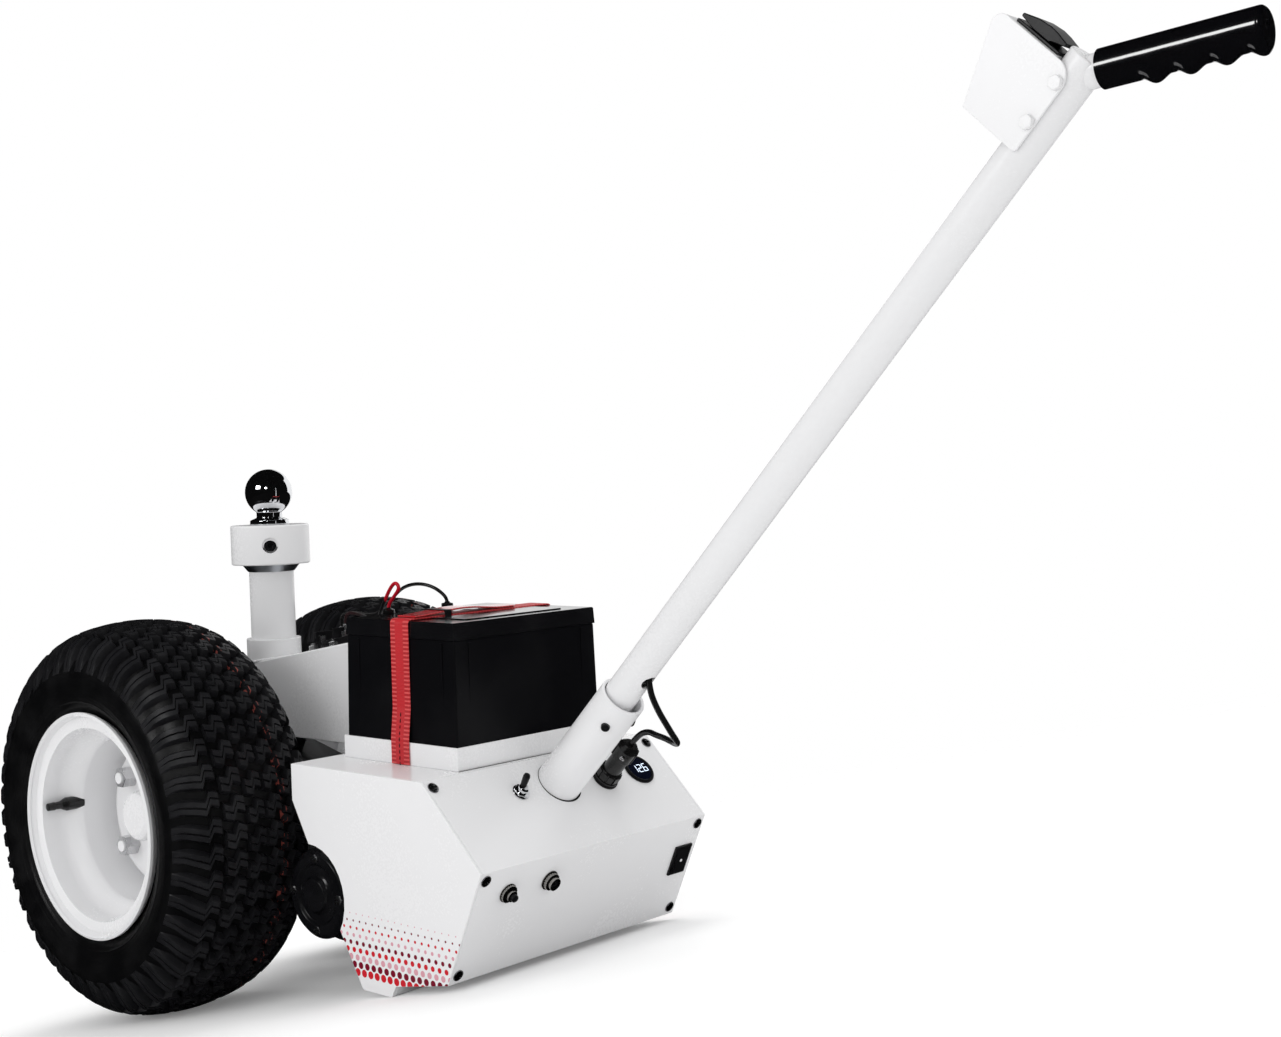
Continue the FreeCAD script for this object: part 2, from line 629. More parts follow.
def terminal_block():
    """Insulating block on the beam where the battery leads are bolted down."""
    base = box(0, 62, -4, 28, 0, 9)
    ribs = [box(x, x + 3, -4, 28, 9, 20) for x in (0, 29.5, 59)]
    return placed(one([base] + ribs), block_frame(BLOCK_X, 0))


def terminal_studs():
    studs = []
    for x, y in STUD_PLACES:
        nut = hexagon(11, 6)
        nut.translate(vec(x, y, 9))
        stud = cylinder(3, STUD_HEIGHT - 9, vec(x, y, 9))
        studs.append(placed(one([nut, stud]), block_frame(BLOCK_X, 0)))
    return Part.makeCompound(studs)


# --------------------------------------------------------------------------- drive pieces
def gear_case():
    """Case that joins the axle line to the motor's output, with a pad under the hitch beam."""
    half = GEAR_CASE_WIDTH / 2
    axle = vec(0, 0, TYRE_RADIUS)
    motor = vec(MOTOR_X, 0, MOTOR_Z)
    span = motor - axle
    lean = math.atan2(span.z, span.x)
    spread = math.acos((GEAR_CASE_AXLE_RADIUS - GEAR_CASE_MOTOR_RADIUS) / span.Length)

    def slab(thickness):
        corners = []
        for turn in (spread, -spread):
            out = vec(math.cos(lean + turn), 0, math.sin(lean + turn))
            corners.append((axle + out * GEAR_CASE_AXLE_RADIUS, motor + out * GEAR_CASE_MOTOR_RADIUS))
        (a0, m0), (a1, m1) = corners
        web = polygon([a0, m0, m1, a1])
        web.translate(vec(0, -thickness, 0))
        web = web.extrude(vec(0, 2 * thickness, 0))
        ends = [cylinder(GEAR_CASE_AXLE_RADIUS, 2 * thickness, axle - Y_AXIS * thickness, Y_AXIS),
                cylinder(GEAR_CASE_MOTOR_RADIUS, 2 * thickness, motor - Y_AXIS * thickness, Y_AXIS)]
        return one([web] + ends)

    pad = box(-CASE_PAD_LENGTH / 2, CASE_PAD_LENGTH / 2, -CASE_PAD_WIDTH / 2, CASE_PAD_WIDTH / 2,
              TYRE_RADIUS, BEAM_FLOOR_Z)
    case = one([slab(half), pad])
    return case.cut(cylinder(SHAFT_RADIUS + 6, 2 * half + 2, axle - Y_AXIS * (half + 1), Y_AXIS))


def axle_tube(side):
    """Fixed tube between the gear case and the wheel hub."""
    start = GEAR_CASE_WIDTH / 2
    end = hub_inner_end() - HUB_GAP
    bore = SHAFT_RADIUS + SHAFT_CLEARANCE
    profile = [(bore, start), (AXLE_TUBE_RADIUS + 8, start), (AXLE_TUBE_RADIUS + 8, start + 8),
               (AXLE_TUBE_RADIUS, start + 8), (AXLE_TUBE_RADIUS, end), (bore, end)]
    return turned(profile, vec(0, 0, TYRE_RADIUS), Y_AXIS * side)


def motor_reach():
    return BOX_HALF - MOTOR_INSET


def motor_body():
    start = GEAR_CASE_WIDTH / 2
    length = motor_reach() - MOTOR_CAP_LENGTH - start
    return cylinder(MOTOR_RADIUS, length, vec(MOTOR_X, -start, MOTOR_Z), Y_AXIS * -1)


def motor_end_cap():
    """Domed end bell with the bearing boss."""
    start = motor_reach() - MOTOR_CAP_LENGTH
    end = motor_reach()
    profile = [(0, start), (MOTOR_RADIUS, start), (MOTOR_RADIUS, end - 6), (MOTOR_RADIUS - 5, end - 1),
               (MOTOR_RADIUS - 13, end - 1), (MOTOR_RADIUS - 16, end - 4), (MOTOR_BOSS_RADIUS + 3, end - 4),
               (MOTOR_BOSS_RADIUS, end - 2), (MOTOR_BOSS_RADIUS - 1.5, end + MOTOR_BOSS_LENGTH - 2),
               (0, end + MOTOR_BOSS_LENGTH - 2)]
    return turned(profile, vec(MOTOR_X, 0, MOTOR_Z), Y_AXIS * -1)


# --------------------------------------------------------------------------- wheel pieces
def hub_inner_end():
    """Distance from the centre line to the hub barrel's inner end."""
    return TRACK / 2 + NAVE_OFFSET - RIM_WALL / 2 - HUB_FLANGE_THICKNESS - HUB_BARREL_LENGTH


def wheel_axis(side):
    """Frame of a wheel: origin on its centre plane, Z outboard."""
    return FreeCAD.Placement(vec(0, side * TRACK / 2, TYRE_RADIUS), FreeCAD.Rotation(Z_AXIS, Y_AXIS * side))


def crest_line():
    """Tops of the lugs from the centre groove to the sidewall: (radius, distance from the centre plane)."""
    half = TYRE_WIDTH / 2
    shoulder = [(TYRE_RADIUS - drop, share * half) for drop, share in CROWN_SHAPE]
    return [(TYRE_RADIUS, TREAD_GROOVE / 2)] + shoulder


def groove_line():
    """Floor between the lugs, which meets their tops at the sidewall."""
    crest = crest_line()
    sunk = offset_line(crest, TREAD_DEPTH)
    return [(TYRE_RADIUS - TREAD_DEPTH, TREAD_GROOVE / 2)] + sunk[1:-1] + [crest[-1]]


def sidewall_line():
    """Sidewall from the lugs' ends over the bulge to the bead's heel."""
    half = TYRE_WIDTH / 2
    return [crest_line()[-1], (TYRE_RADIUS - BULGE_DROP, half), (RIM_FLANGE_RADIUS + 6.5, 0.90 * half),
            (RIM_FLANGE_RADIUS - 3, 0.80 * half)]


def liner_line():
    """Inside of one half of the tyre, from the crown to the bead's toe."""
    toe = (BEAD_SEAT_RADIUS + 2) / math.cos(math.pi / LINER_SIDE_COUNT)
    bead = 0.80 * TYRE_WIDTH / 2
    inside = offset_line([groove_line()[1], sidewall_line()[1]], TYRE_WALL)
    return inside + [(toe, bead - TYRE_WALL), (toe, bead)]


def around(spot, angle, side=1):
    """Point of a (radius, distance) section at an angle round the wheel."""
    radius, offset = spot
    return vec(radius * math.cos(angle), radius * math.sin(angle), side * offset)


def facets(line, start, end, side):
    """Flat facets between two angles along a section line."""
    flats = []
    for a, b in zip(line, line[1:]):
        corners = [(a, start), (b, start), (b, end), (a, end)]
        flats.append(polygon([around(spot, angle, side) for spot, angle in corners]))
    return flats


def bead_face(side, phase):
    """Flat side of a bead, from its heel to its toe."""
    count = 2 * LUG_COUNT
    heel = [around(sidewall_line()[-1], phase + 2 * math.pi * i / count, side) for i in range(count)]
    toe = [around(liner_line()[-1], 2 * math.pi * i / LINER_SIDE_COUNT, side) for i in range(LINER_SIDE_COUNT)]
    return polygon(heel).cut(polygon(toe)).Faces[0]


def tyre(wheel_side):
    """Turf tyre with staggered lugs that run down to the sidewalls, hollow and open at the beads.

    The first lug's edge is turned so that a lug edge stands on the floor in the parked stance.
    """
    phase = math.radians(-wheel_side * park_angle())
    crest = crest_line()
    groove = groove_line()
    step = math.pi / LUG_COUNT
    faces = [bead_face(-1, phase), bead_face(1, phase)]
    for i in range(2 * LUG_COUNT):
        start = phase + i * step
        end = start + step
        faces.append(polygon([around(groove[0], start, -1), around(groove[0], start), around(groove[0], end),
                              around(groove[0], end, -1)]))
        for side in (-1, 1):
            has_lug = i % 2 == (side > 0)
            faces += facets(crest if has_lug else groove, start, end, side)
            faces += facets(sidewall_line(), start, end, side)
            flank = crest + groove[-2::-1]
            faces.append(polygon([around(spot, start, side) for spot in flank]))
            if has_lug:
                faces += facets([groove[0], crest[0]], start, end, side)
    liner = liner_line()
    for i in range(LINER_SIDE_COUNT):
        start = 2 * math.pi * i / LINER_SIDE_COUNT
        end = start + 2 * math.pi / LINER_SIDE_COUNT
        faces.append(polygon([around(liner[0], start, -1), around(liner[0], start), around(liner[0], end),
                              around(liner[0], end, -1)]))
        faces += facets(liner, start, end, -1) + facets(liner, start, end, 1)
    shell = Part.makeCompound(faces)
    shell.sewShape()
    solid = Part.Solid(shell.Shells[0])
    if solid.Volume < 0:
        solid.reverse()
    return solid


def bent(line, reach, steps=5):
    """Open (radius, height) line with its inner corners rounded."""
    points = [line[0]]
    for a, b, c in zip(line, line[1:], line[2:]):
        ends = []
        for other in (a, c):
            share = min(reach, 0.45 * math.dist(b, other)) / math.dist(b, other)
            ends.append([b[k] + (other[k] - b[k]) * share for k in (0, 1)])
        for i in range(steps + 1):
            t = i / steps
            points.append(tuple(ends[0][k] * (1 - t) ** 2 + 2 * b[k] * t * (1 - t) + ends[1][k] * t * t for k in (0, 1)))
    return points + [line[-1]]


def rim_line():
    """Outer surface of the rim from lip to lip: (radius, distance from the centre plane)."""
    lip = RIM_LIP_WIDTH / 2
    seat = 0.80 * TYRE_WIDTH / 2 + 0.6
    half = [(RIM_FLANGE_RADIUS - 3, lip), (RIM_FLANGE_RADIUS, lip - 1.5), (RIM_FLANGE_RADIUS, lip - 4.5),
            (RIM_FLANGE_RADIUS - 4, seat + 0.6)]
    half += bent([(BEAD_SEAT_RADIUS, seat), (BEAD_SEAT_RADIUS - 0.4, RIM_WELL_HALF + 15),
                  (RIM_WELL_RADIUS, RIM_WELL_HALF + 1), (RIM_WELL_RADIUS, RIM_WELL_HALF - 8)], RIM_BEND)
    return half + [(r, -h) for r, h in half[::-1]]


def rim_barrel():
    outer = rim_line()
    return turned(outer + offset_line(outer, -RIM_WALL)[::-1])


def rim():
    """Pressed rim with a dropped well and a dished nave plate."""
    bore = HUB_NOSE_RADIUS + SHAFT_CLEARANCE
    well = RIM_WELL_RADIUS - RIM_WALL
    face = NAVE_OFFSET + RIM_WALL / 2
    nave_line = bent([(bore, face), (HUB_FLANGE_RADIUS + RIM_BEND + 1, face), (well - 6, face - 12),
                      (well + 1, face - 21)], RIM_BEND)
    back = offset_line(nave_line, -RIM_WALL)
    back[-1] = (well + 1, back[-1][1])
    back[0] = (bore, back[0][1])
    nave = turned(nave_line + back[::-1])
    holes = [cylinder(7.0, 20, vec(*bolt_place(i), NAVE_OFFSET - 10)) for i in range(WHEEL_NUT_COUNT)]
    holes.append(cylinder(VALVE_RADIUS + VALVE_NECK + 0.1, 20, valve_place(valve_seat() - 14)))
    return one([rim_barrel(), nave]).cut(holes)


def valve_seat():
    """Distance of the valve's inner end from the tyre's centre plane."""
    return RIM_WELL_HALF + 12.0


def valve_place(height):
    radius = BEAD_SEAT_RADIUS - RIM_WALL - 7.5
    angle = math.radians(VALVE_ANGLE)
    return vec(radius * math.cos(angle), radius * math.sin(angle), height)


def bolt_place(i):
    angle = math.radians(45 + 360 * i / WHEEL_NUT_COUNT)
    radius = WHEEL_BOLT_CIRCLE / 2
    return radius * math.cos(angle), radius * math.sin(angle)


def hub():
    """Hub barrel, flange, nose and its half shaft."""
    back = NAVE_OFFSET - RIM_WALL / 2
    flange = back - HUB_FLANGE_THICKNESS
    barrel = flange - HUB_BARREL_LENGTH
    nose = back + HUB_NOSE_LENGTH
    profile = [(0, nose), (HUB_NOSE_RADIUS - 7, nose), (HUB_NOSE_RADIUS - 2, nose - 3), (HUB_NOSE_RADIUS, nose - 9),
               (HUB_NOSE_RADIUS, back), (HUB_FLANGE_RADIUS, back), (HUB_FLANGE_RADIUS, flange),
               (HUB_BARREL_RADIUS + 4, flange), (HUB_BARREL_RADIUS, flange - 4), (HUB_BARREL_RADIUS, barrel),
               (SHAFT_RADIUS, barrel), (SHAFT_RADIUS, barrel - SHAFT_REACH), (0, barrel - SHAFT_REACH)]
    body = turned(profile)
    studs = [cylinder(6.0, HUB_FLANGE_THICKNESS + RIM_WALL + WHEEL_NUT_HEIGHT + 2, vec(*bolt_place(i), flange))
             for i in range(WHEEL_NUT_COUNT)]
    return one([body] + studs)


def wheel_nuts():
    """Wheel nuts, seated on the nave plate round the hub's studs."""
    nuts = []
    seat = NAVE_OFFSET + RIM_WALL / 2
    for i in range(WHEEL_NUT_COUNT):
        nut = hexagon(WHEEL_NUT_FLATS, WHEEL_NUT_HEIGHT)
        nut = nut.cut(cylinder(6.0, WHEEL_NUT_HEIGHT + 2, vec(0, 0, -1)))
        nut.translate(vec(*bolt_place(i), seat))
        nuts.append(nut)
    return Part.makeCompound(nuts)


def valve():
    """Snap-in rubber valve: a neck in the rim's hole and a fat foot seated on the slope of the well."""
    end = VALVE_LENGTH
    foot = VALVE_RADIUS + VALVE_FOOT
    profile = [(0, -14), (foot, -14), (foot, 4), (foot - 0.8, 6), (VALVE_RADIUS + 0.3, 10), (VALVE_RADIUS, 11),
               (VALVE_RADIUS - 0.4, end - 8), (VALVE_RADIUS + 0.2, end - 7.4), (VALVE_RADIUS - 0.2, end), (0, end)]
    stem = turned(profile, valve_place(valve_seat()))
    seat = rim_barrel()
    seat.translate(vec(0, 0, 0.1))
    stem = max(stem.cut(seat).Solids, key=lambda solid: solid.BoundBox.ZMax)
    neck = cylinder(VALVE_RADIUS + VALVE_NECK, 14, valve_place(valve_seat() - 11))
    return one([stem, neck])


def wheel(side, word):
    frame = wheel_axis(side)
    pieces = {"tyre": tyre(side), "rim": rim(), "hub": hub(), "wheel_nuts": wheel_nuts(), "valve": valve()}
    return {word + "_" + name: placed(shape, frame) for name, shape in pieces.items()}


# --------------------------------------------------------------------------- handle pieces
def handle_socket():
    """Welded socket that passes through the panel."""
    foot = -8.0
    bore = SOCKET_BORE
    profile = [(bore, HANDLE_SEAT - LEAN_CLEARANCE), (bore, SOCKET_LENGTH - 1.0), (bore + 1.0, SOCKET_LENGTH),
               (SOCKET_RADIUS - 1.0, SOCKET_LENGTH), (SOCKET_RADIUS, SOCKET_LENGTH - 1.0), (SOCKET_RADIUS, foot),
               (0, foot), (0, HANDLE_SEAT - LEAN_CLEARANCE)]
    socket = placed(turned(profile), SOCKET)
    holes = [placed(button_shape(side, BUTTON_RADIUS + 0.3), HANDLE) for side in (-1, 1)]
    return socket.cut(holes)


def button_shape(side, radius):
    """Cylinder of a snap button, to one side of the handle's front."""
    angle = math.radians(BUTTON_ANGLE * side)
    out = vec(math.cos(angle), math.sin(angle), 0)
    start = HANDLE_RADIUS + 0.05
    length = SOCKET_RADIUS + HANDLE_SHIFT * math.cos(angle) + BUTTON_STAND_OUT - start
    return cylinder(radius, length, vec(0, 0, BUTTON_HEIGHT) + out * start, out)


def snap_buttons():
    buttons = [placed(button_shape(side, BUTTON_RADIUS), HANDLE) for side in (-1, 1)]
    return Part.makeCompound(buttons)


def stub_direction():
    """Direction of the grip in the handle's frame."""
    handle_elevation = 90.0 - SLANT_ANGLE + HANDLE_LEAN
    turn = math.radians(handle_elevation - GRIP_ELEVATION)
    return vec(math.sin(turn), 0, math.cos(turn))


def stub_frame(distance=0.0):
    out = stub_direction()
    down = out.cross(Y_AXIS * -1)
    return FreeCAD.Placement(vec(0, 0, STUB_HEIGHT) + out * distance,
                             FreeCAD.Rotation(down, Y_AXIS, out, "ZXY"))


def handle_tube():
    """Long tube with the cable's outlet, closed at the top."""
    outer = cylinder(HANDLE_RADIUS, HANDLE_LENGTH - HANDLE_SEAT, vec(0, 0, HANDLE_SEAT))
    outer = outer.makeFillet(1.5, [e for e in outer.Edges if e.BoundBox.ZMin > HANDLE_LENGTH - 0.1])
    bore = cylinder(HANDLE_RADIUS - HANDLE_WALL, HANDLE_LENGTH - HANDLE_SEAT - HANDLE_WALL + 1,
                    vec(0, 0, HANDLE_SEAT - 1))
    outlet = cylinder(CABLE_HOLE_RADIUS, 2 * HANDLE_RADIUS, vec(0, 0, CABLE_HOLE_HEIGHT), vec(1, 0, 0))
    return placed(outer.cut([bore, outlet]), HANDLE)


def grip_stub():
    """Short tube welded to the handle's head, which carries the grip."""
    stub = cylinder(STUB_RADIUS, STUB_LENGTH)
    stub = placed(stub, stub_frame())
    stub = stub.cut(cylinder(HANDLE_RADIUS, HANDLE_LENGTH))
    return placed(largest(stub), HANDLE)


def largest(shape):
    return max(shape.Solids, key=lambda solid: solid.Volume)


def hand_grip():
    """Moulded grip with finger crests along its underside."""
    length = GRIP_END - GRIP_START
    body = cylinder(GRIP_RADIUS, length)
    body = body.makeFillet(3.0, [e for e in body.Edges if e.BoundBox.ZMin > length - 0.1])
    grip = body.fuse([grip_crest(length - GRIP_LAST_CREST - GRIP_CREST_PITCH * i) for i in range(GRIP_CREST_COUNT)])
    hollow = cylinder(STUB_RADIUS + GRIP_CLEARANCE, STUB_LENGTH + GRIP_CLEARANCE - GRIP_START + 5, vec(0, 0, -5))
    grip = largest(grip.removeSplitter().cut(hollow))
    return placed(placed(grip, stub_frame(GRIP_START)), HANDLE)


def grip_crest(height):
    """Ring that swells below the grip at one finger crest and dies out above it."""
    stand_out = GRIP_CREST - GRIP_RADIUS
    shift = stand_out / 2 + 0.2
    crest = GRIP_CREST_PITCH * 0.24
    end = min(GRIP_CREST_PITCH * 0.42, GRIP_LAST_CREST - 0.2)
    reach = GRIP_CREST_PITCH * 0.42
    valley = GRIP_RADIUS - shift - 0.2
    joint = valley + stand_out * 0.4
    top = GRIP_CREST - shift
    fall = top - (top - joint) * (end / crest) ** 2
    low, left = vec(valley - 1, 0, height - reach), vec(joint, 0, height - crest)
    right, high = vec(fall, 0, height + end), vec(0, 0, height + end)
    edges = [Part.LineSegment(vec(0, 0, height - reach), low).toShape(), Part.LineSegment(low, left).toShape(),
             Part.Arc(left, vec(top, 0, height), right).toShape(), Part.LineSegment(right, high).toShape(),
             Part.LineSegment(high, vec(0, 0, height - reach)).toShape()]
    ring = Part.Face(Part.Wire(edges)).revolve(ORIGIN, Z_AXIS, 360)
    ring.translate(vec(shift, 0, 0))
    return ring


# --------------------------------------------------------------------------- control head pieces
def head_profile():
    """Side plate outline in the handle's frame: (distance in front of the axis, height, corner radius)."""
    return [(HEAD_FRONT_REACH, HEAD_BOTTOM, HEAD_FOOT_CORNER), (HEAD_FRONT_REACH, HEAD_TOP, HEAD_FRONT_CORNER),
            (-HEAD_BACK_TOP, HEAD_TOP, HEAD_BACK_CORNER), (-HEAD_BACK_BOTTOM, HEAD_BOTTOM, HEAD_TAIL_CORNER)]


def head_half():
    return HANDLE_RADIUS + HEAD_GAP + HEAD_SHEET


def switch_housing():
    """Folded head: two side plates, a back web and a top, astride the handle's tube."""
    half = head_half()
    block = rounded_y(head_profile(), -half, half)
    back = HANDLE_RADIUS + HEAD_GAP
    lean = math.atan2(HEAD_BACK_TOP - HEAD_BACK_BOTTOM, HEAD_HEIGHT)
    shift = HEAD_SHEET / math.cos(lean)
    low = HEAD_BOTTOM - 5
    inner = [(HEAD_FRONT_REACH + 9, low, 0.5), (HEAD_FRONT_REACH + 9, HEAD_TOP + 20, 0.5),
             (-back, HEAD_TOP + 20, 0.5), (-back, HEAD_TOP - HEAD_SHEET, 0.5),
             (-HEAD_BACK_TOP + shift + HEAD_SHEET * math.tan(lean), HEAD_TOP - HEAD_SHEET, HEAD_BACK_CORNER - HEAD_SHEET),
             (-HEAD_BACK_BOTTOM + shift + 5 * math.tan(lean), low, 0.5)]
    core = rounded_y(inner, -half + HEAD_SHEET, half - HEAD_SHEET)
    opening = box(-SWITCH_BACK + 3, -SWITCH_FRONT - 3, -SWITCH_WIDTH / 2 + 2, SWITCH_WIDTH / 2 - 2,
                  HEAD_TOP - 9, HEAD_TOP + 5)
    return placed(block.cut([core, opening]), HANDLE)


def housing_bolts():
    bolts = []
    for drop in HEAD_BOLT_DROPS:
        for side in (-1, 1):
            bolt = hexagon(HEAD_BOLT_FLATS, HEAD_BOLT_HEAD)
            turn = FreeCAD.Rotation(Z_AXIS, Y_AXIS * side)
            spot = FreeCAD.Placement(vec(0, side * head_half(), HEAD_TOP - drop), turn)
            bolts.append(placed(placed(bolt, spot), HANDLE))
    return Part.makeCompound(bolts)


def thumb_switch():
    """Rocker switch bezel and body in the head's top."""
    bezel = box(-SWITCH_BACK, -SWITCH_FRONT, -SWITCH_WIDTH / 2, SWITCH_WIDTH / 2, HEAD_TOP, HEAD_TOP + SWITCH_BEZEL)
    body = box(-SWITCH_BACK + 3.5, -SWITCH_FRONT - 3.5, -SWITCH_WIDTH / 2 + 2.5, SWITCH_WIDTH / 2 - 2.5,
               HEAD_TOP - 16, HEAD_TOP)
    return placed(one([bezel, body]), HANDLE)


def thumb_paddle():
    """Two-way paddle on the switch, rocked forwards, with thin tips clear of the bezel."""
    base = HEAD_TOP + SWITCH_BEZEL
    middle = -(SWITCH_BACK + SWITCH_FRONT) / 2
    reach = (SWITCH_BACK - SWITCH_FRONT) / 2
    tip = PADDLE_LIFT + PADDLE_TIP
    wings = [(PADDLE_FOOT + 2, 0.8), (reach - 5, PADDLE_LIFT * 0.7), (reach, PADDLE_LIFT), (reach, tip),
             (reach * 0.5, PADDLE_RISE - 1), (reach * 0.15, PADDLE_RISE), (-reach * 0.35, PADDLE_RISE - 0.5),
             (-reach, tip), (-reach, PADDLE_LIFT), (-reach + 5, PADDLE_LIFT * 0.7), (-PADDLE_FOOT - 2, 0.8)]
    slope = math.tan(math.radians(PADDLE_ROCK))
    profile = [(middle + PADDLE_FOOT, base)]
    profile += [(middle + x, base + z + x * slope) for x, z in wings]
    profile.append((middle - PADDLE_FOOT, base))
    return placed(prism_y(profile, -PADDLE_WIDTH / 2, PADDLE_WIDTH / 2), HANDLE)


# --------------------------------------------------------------------------- instruments
def voltmeter():
    """Round gauge: bezel ring on the panel, recessed window and body behind."""
    body = METER_RADIUS - 2
    profile = [(0, -14), (body, -14), (body, 0), (METER_RADIUS, 0), (METER_RADIUS, 1.6), (METER_RADIUS - 1.2, 2.6),
               (METER_RADIUS - 3, 2.6), (METER_RADIUS - 3.4, 1.6), (0, 1.6)]
    return placed(turned(profile), slant_frame(*METER_PLACE))


def speed_toggle():
    """Two-position toggle: body, hex nut and lever."""
    body = cylinder(6.0, 14, vec(0, 0, -14))
    nut = hexagon(14.0, 3.0)
    collar = cylinder(5.0, 6.5)
    lever = turned([(0, 0), (1.9, 0), (2.7, 16.0), (2.1, 18.0), (0, 18.4)])
    tilt = math.radians(TOGGLE_TILT)
    lean = FreeCAD.Rotation(Z_AXIS, vec(-math.sin(tilt), 0, math.cos(tilt)))
    lever.Placement = FreeCAD.Placement(vec(0, 0, 4), lean)
    return placed(one([body, nut, collar, lever]), slant_frame(*TOGGLE_PLACE))


def breaker_button():
    """Push-to-reset breaker with a threaded neck and knurled nut."""
    profile = [(0, -16), (5.0, -16), (5.0, 0), (8.6, 0), (8.6, 2.4), (6.4, 3.4), (5.4, 3.4), (5.4, 7.2), (3.6, 7.2),
               (3.6, 10.5), (3.0, 11.2), (0, 11.2)]
    return placed(turned(profile), panel_frame(*BREAKER_PLACE))


def charge_port():
    """Round threaded fitting with a washer, nut and blind centre."""
    profile = [(0, -16), (6.0, -16), (6.0, 0), (9.4, 0), (9.4, 1.4), (8.0, 1.4), (8.0, 4.6), (6.0, 5.4), (6.0, 8.6),
               (3.8, 8.6), (3.4, 5.0), (0, 5.0)]
    return placed(turned(profile), panel_frame(*PORT_PLACE))


def power_inlet():
    """Rectangular snap-in rocker with a raised frame."""
    high = INLET_HEIGHT / 2
    wide = INLET_WIDTH / 2
    frame = box(-high, high, -wide, wide, 0, 2.2)
    frame = frame.cut(box(-high + 3, high - 3, -wide + 3, wide - 3, 1.0, 5))
    body = box(-high + INLET_LEDGE, high - INLET_LEDGE, -wide + INLET_LEDGE, wide - INLET_LEDGE, -18, 0)
    rocker = [(-high + 3.6, 1.0), (-high + 3.6, 1.8), (0, 3.0), (high - 3.6, 4.6), (high - 3.6, 1.0)]
    key = prism_y(rocker, -wide + 3.6, wide - 3.6)
    return placed(one([frame, body, key]), panel_frame(*INLET_PLACE))


def panel_socket():
    """Flanged receptacle of the handle cable's connector."""
    body = PLUG_RADIUS - 2
    flange = PLUG_RADIUS + 1.5
    profile = [(0, -14), (body, -14), (body, 0), (flange, 0), (flange, 2.4), (0, 2.4)]
    return placed(turned(profile), slant_frame(*PLUG_PLACE))


def cable_plug():
    """Circular connector: coupling ring, body and two-part cable clamp."""
    r = PLUG_RADIUS
    end = PLUG_LENGTH
    clamp = end - PLUG_CLAMP
    profile = [(0, 2.4), (r + 0.8, 2.4), (r + 0.8, 4.6), (r, 5.4), (r, 13.5), (r - 0.9, 14.4), (r - 2.6, 14.8),
               (r - 2.6, clamp), (r - 1.2, clamp + 1), (r - 1.2, end - 6), (r - 2.2, end - 3), (r - 5.0, end),
               (0, end)]
    return placed(turned(profile), slant_frame(*PLUG_PLACE))


# --------------------------------------------------------------------------- cables
def handle_cable():
    """Control lead from the handle's outlet down and back up to the plug's clamp."""
    start = HANDLE.multVec(vec(HANDLE_RADIUS - 4.0, -1.0, CABLE_HOLE_HEIGHT + 4.5))
    rear = slant_frame(*PLUG_PLACE).multVec(vec(0, 0, PLUG_LENGTH))
    out = slant_frame(*PLUG_PLACE).multVec(vec(0, 0, PLUG_LENGTH + 14.0))
    route = [start, vec(562, 2, 349), vec(563, 6, 338), vec(568, 8, 327), vec(573, 11, 317), vec(574, 17, 308),
             vec(572, 25, 301), vec(565, 34, 296), vec(549, 46, 295), vec(536, 51, 297), vec(525, 51, 299),
             vec(511, 56, 301), out, rear]
    return route_tube(route, HANDLE_CABLE_RADIUS, "handle cable")


def stud_point(index, height, ahead=0.0):
    """Point above a stud of the terminal block, or a little ahead of it."""
    x, y = STUD_PLACES[index]
    return block_frame(BLOCK_X, 0).multVec(vec(x, y, STUD_HEIGHT + height)) + vec(ahead, 0, 0)


def negative_lead():
    """Lead that arches behind the battery to the block's rear stud."""
    top = BATTERY_TOP_Z + TERMINAL_HEIGHT
    route = [vec(TERMINAL_X, terminal_y(1), top), vec(TERMINAL_X, terminal_y(1), top + 5), vec(257, 30, 428),
             vec(249, 27, 433), vec(238, 24, 436), vec(225, 22, 436), vec(212, 21, 433), vec(200, 21, 427),
             vec(186, 21, 415), vec(172, 21, 406), vec(158, 22, 402), vec(145, 22, 402),
             vec(132, 22, 404), stud_point(0, 14, 6), stud_point(0, 7), stud_point(0, 0)]
    return route_tube(route, LEAD_RADIUS, "negative lead")


def positive_lead():
    """Lead that stands up in a narrow loop, then drops behind the battery to the front stud."""
    y = terminal_y(-1)
    top = BATTERY_TOP_Z + TERMINAL_HEIGHT
    route = [vec(TERMINAL_X, y, top), vec(TERMINAL_X, y, top + 5), vec(273, y, 430),
             vec(281, y, 438), vec(275, y, 444), vec(266, y, 437), vec(250, y + 3, 418), vec(238, y + 9, 408), vec(222, -26, 402), vec(203, -15, 400),
             vec(184, -6, 401), vec(167, 0, 404), stud_point(1, 13, 7), stud_point(1, 6), stud_point(1, 0)]
    return route_tube(route, LEAD_RADIUS, "positive lead")


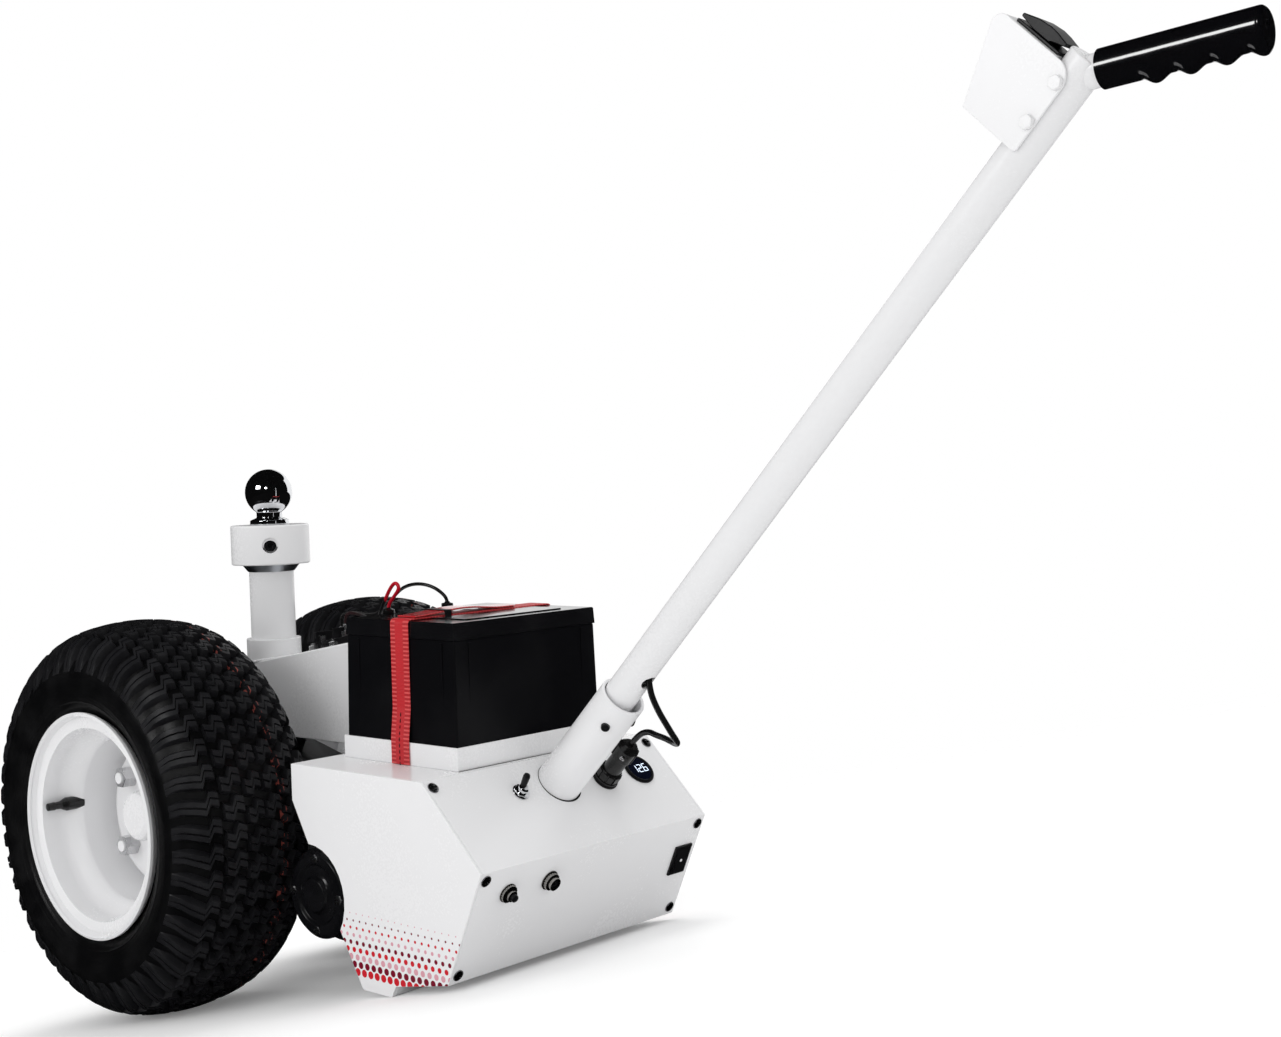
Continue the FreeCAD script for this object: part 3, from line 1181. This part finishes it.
# --------------------------------------------------------------------------- assembly
def chassis():
    pieces = {
        "body_shell": body_shell(),
        "right_cheek": cheek(-1),
        "left_cheek": cheek(1),
        "control_panel": control_panel(),
        "battery_tray": battery_tray(),
        "battery_case": battery_case(),
        "battery_lid": battery_lid(),
        "battery_terminals": battery_terminals(),
        "battery_strap": battery_strap(),
        "hitch_beam": hitch_beam(),
        "post_tube": post_tube(),
        "post_collar": post_collar(),
        "swivel_ring": swivel_ring(),
        "ball_cup": ball_cup(),
        "cup_set_screw": cup_set_screw(),
        "tow_ball": tow_ball(),
        "terminal_block": terminal_block(),
        "terminal_studs": terminal_studs(),
        "gear_case": gear_case(),
        "right_axle_tube": axle_tube(-1),
        "left_axle_tube": axle_tube(1),
        "motor_body": motor_body(),
        "motor_end_cap": motor_end_cap(),
        "handle_socket": handle_socket(),
        "snap_buttons": snap_buttons(),
        "handle_tube": handle_tube(),
        "grip_stub": grip_stub(),
        "hand_grip": hand_grip(),
        "switch_housing": switch_housing(),
        "housing_bolts": housing_bolts(),
        "thumb_switch": thumb_switch(),
        "thumb_paddle": thumb_paddle(),
        "voltmeter": voltmeter(),
        "speed_toggle": speed_toggle(),
        "breaker_button": breaker_button(),
        "charge_port": charge_port(),
        "power_inlet": power_inlet(),
        "panel_socket": panel_socket(),
        "cable_plug": cable_plug(),
        "handle_cable": handle_cable(),
        "positive_lead": positive_lead(),
        "negative_lead": negative_lead(),
    }
    return pieces


def park_angle():
    """Nose-down turn about the axle line that brings the skid's front bend to the floor."""
    x = SKID_FRONT_X - SKID_BEND
    drop = TYRE_RADIUS - SKID_Z - SKID_BEND
    reach = math.hypot(x, drop)
    return math.degrees(math.asin((TYRE_RADIUS - SKID_BEND) / reach) - math.atan2(drop, x))


def parked(pieces):
    """Turn every piece into the parked stance, the origin under the middle of the machine."""
    turn = FreeCAD.Placement(ORIGIN, FreeCAD.Rotation(Y_AXIS, park_angle()), vec(0, 0, TYRE_RADIUS))
    moved = {name: placed(shape, turn) for name, shape in pieces.items()}
    front = moved["hand_grip"].optimalBoundingBox().XMax
    shift = (TYRE_RADIUS - front) / 2
    print("park angle %.4f degrees, shift %.3f mm" % (park_angle(), shift))
    for shape in moved.values():
        shape.translate(vec(shift, 0, 0))
    return moved


def main():
    pieces = chassis()
    pieces.update(wheel(-1, "right"))
    pieces.update(wheel(1, "left"))
    os.makedirs("parts", exist_ok=True)
    for name, shape in parked(pieces).items():
        shape.exportStep("parts/" + name + ".step")
        print("%-20s solids %d, volume %.1f cm3, valid %s" % (name, len(shape.Solids), shape.Volume / 1000,
                                                             shape.isValid()))


main()
